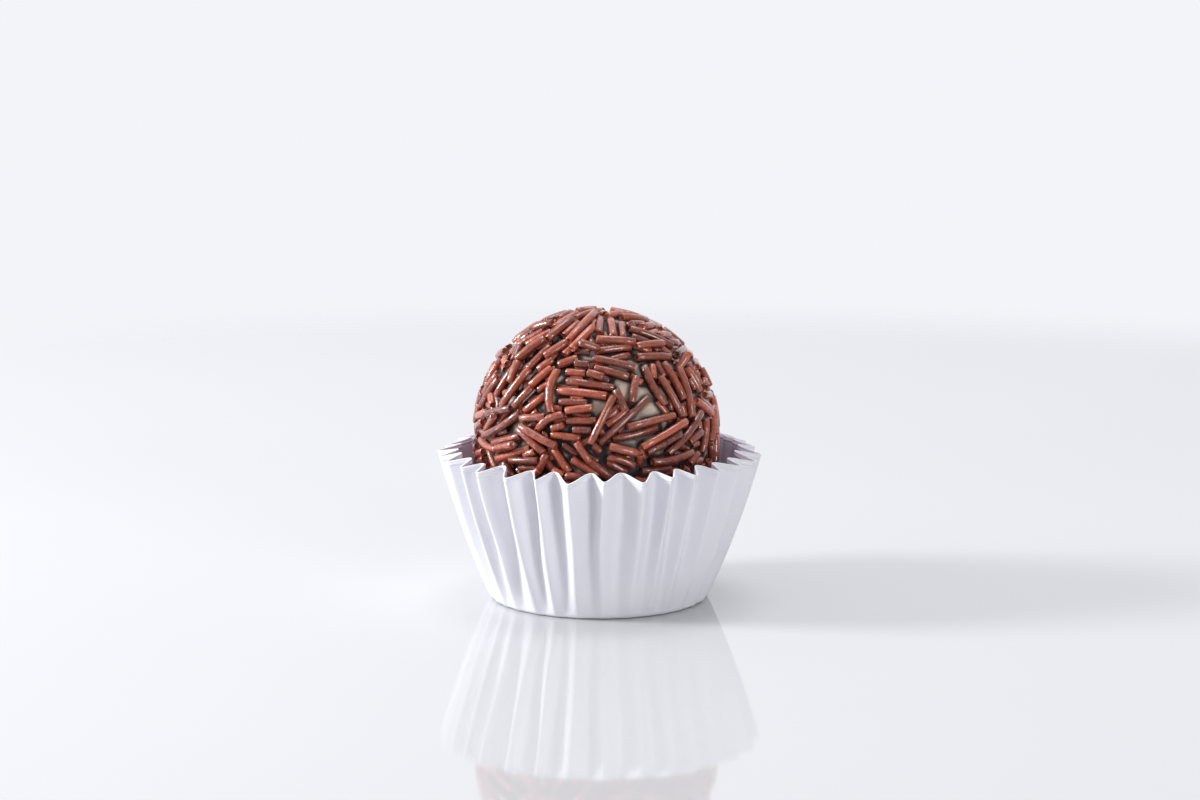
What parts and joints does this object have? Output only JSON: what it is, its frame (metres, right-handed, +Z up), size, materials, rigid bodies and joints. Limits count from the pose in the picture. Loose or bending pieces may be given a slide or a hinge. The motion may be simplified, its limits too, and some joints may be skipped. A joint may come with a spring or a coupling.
{
  "type": "brigadeiro",
  "caption": "Chocolate fudge ball coated in chocolate sprinkles, standing in a white pleated paper candy case.",
  "frame": {"origin": "middle of the paper case's flat foot, on the surface that it stands on", "axes": "+Z up through the ball, -Y towards the front, +X to the right"},
  "size_m": [0.0387, 0.0384, 0.0353],
  "materials": {
    "chocolate_sprinkles": null,
    "white_paper": "smooth, lightly coated white paper"
  },
  "bodies": {
    "root": {"brigadeiro_ball": "chocolate_sprinkles", "paper_case": "white_paper"}
  },
  "joints": []
}
